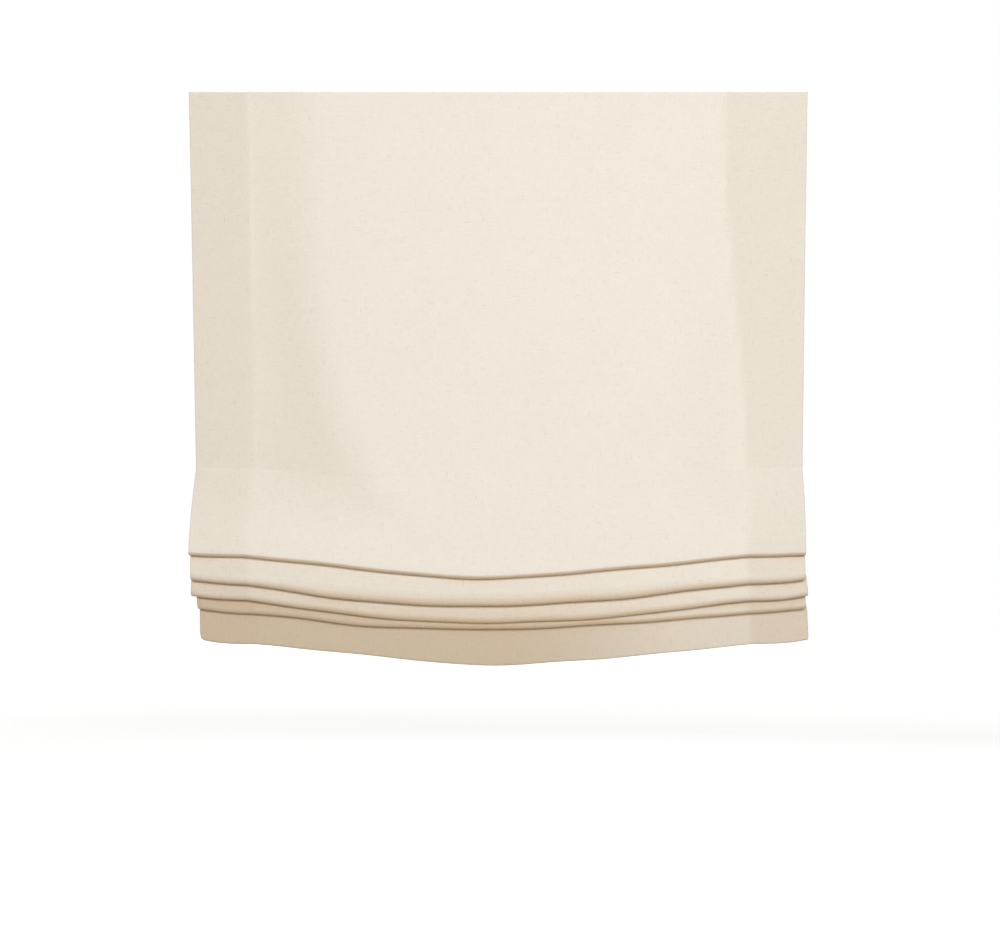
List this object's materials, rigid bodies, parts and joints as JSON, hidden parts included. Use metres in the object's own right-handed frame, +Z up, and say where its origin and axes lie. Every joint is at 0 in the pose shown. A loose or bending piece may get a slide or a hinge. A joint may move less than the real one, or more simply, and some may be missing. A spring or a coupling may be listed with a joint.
{
  "type": "roman shade",
  "caption": "Relaxed roman shade of natural linen with soft gathered folds, raised part way, on a mounting board with a cordless spring lift behind the cloth.",
  "frame": {"origin": "centre of the mounting board's back face, which lies on the wall", "axes": "+X to the right seen from the room, +Y into the wall, +Z up; the face cloth looks along -Y"},
  "size_m": [0.9164, 0.1042, 0.8455],
  "materials": {
    "linen": "slubby natural linen weave, matt",
    "lining": "plain off-white cotton sateen, matt",
    "board": "pine primed off-white",
    "tape": "woven nylon hook and loop tape",
    "bracket_steel": "zinc-plated steel",
    "screw_steel": "zinc-plated steel",
    "shaft_steel": "drawn zinc-plated steel",
    "spring_steel": "blued stainless spring strip",
    "white_plastic": "moulded white acetal",
    "motor_plastic": "moulded grey nylon",
    "ring_plastic": "moulded off-white plastic",
    "cord": "braided polyester cord",
    "aluminium_rod": "plain drawn aluminium"
  },
  "bodies": {
    "shade": {"face_cloth": "linen", "lining": "lining", "mounting_board": "board", "hook_tape": "tape", "loop_tape": "tape", "bracket_left": "bracket_steel", "bracket_right": "bracket_steel", "motor_frame": "motor_plastic", "motor_side_plate": "motor_plastic", "spring_band": "spring_steel", "spool_cradle_left": "white_plastic", "spool_cradle_right": "white_plastic", "lift_cord_left": "cord", "lift_cord_right": "cord", "cord_orb_left": "white_plastic", "cord_orb_right": "white_plastic", "spreader_bar": "aluminium_rod", "spreader_cap_left": "white_plastic", "spreader_cap_right": "white_plastic", "board_screw_left_1": "screw_steel", "board_screw_left_2": "screw_steel", "board_screw_right_1": "screw_steel", "board_screw_right_2": "screw_steel", "cradle_screw_left_1": "screw_steel", "cradle_screw_left_2": "screw_steel", "cradle_screw_right_1": "screw_steel", "cradle_screw_right_2": "screw_steel", "motor_screw_left": "screw_steel", "motor_screw_right": "screw_steel", "ring_left_1": "ring_plastic", "ring_left_2": "ring_plastic", "ring_left_3": "ring_plastic", "ring_left_4": "ring_plastic", "ring_left_5": "ring_plastic", "ring_left_6": "ring_plastic", "ring_left_7": "ring_plastic", "ring_right_1": "ring_plastic", "ring_right_2": "ring_plastic", "ring_right_3": "ring_plastic", "ring_right_4": "ring_plastic", "ring_right_5": "ring_plastic", "ring_right_6": "ring_plastic", "ring_right_7": "ring_plastic"},
    "lift_shaft": {"lift_shaft": "shaft_steel", "lift_spool_left": "white_plastic", "lift_spool_right": "white_plastic", "wound_cord_left": "cord", "wound_cord_right": "cord", "output_drum": "white_plastic", "shaft_collar_left": "motor_plastic", "shaft_collar_right": "motor_plastic"},
    "storage_drum": {"storage_drum": "white_plastic"}
  },
  "joints": [
    {"name": "lift_shaft_turn", "type": "hinge", "parent": "shade", "child": "lift_shaft", "pos_m": [0, -0.043, -0.0275], "axis": [1, 0, 0], "range_deg": [-2743, 4274]},
    {"name": "storage_drum_turn", "type": "hinge", "parent": "shade", "child": "storage_drum", "pos_m": [0, -0.017, -0.0275], "axis": [1, 0, 0], "range_deg": [-4274, 2743]}
  ],
  "couplings": [
    {"joint": "storage_drum_turn", "follows": "lift_shaft_turn", "ratio": -1}
  ]
}
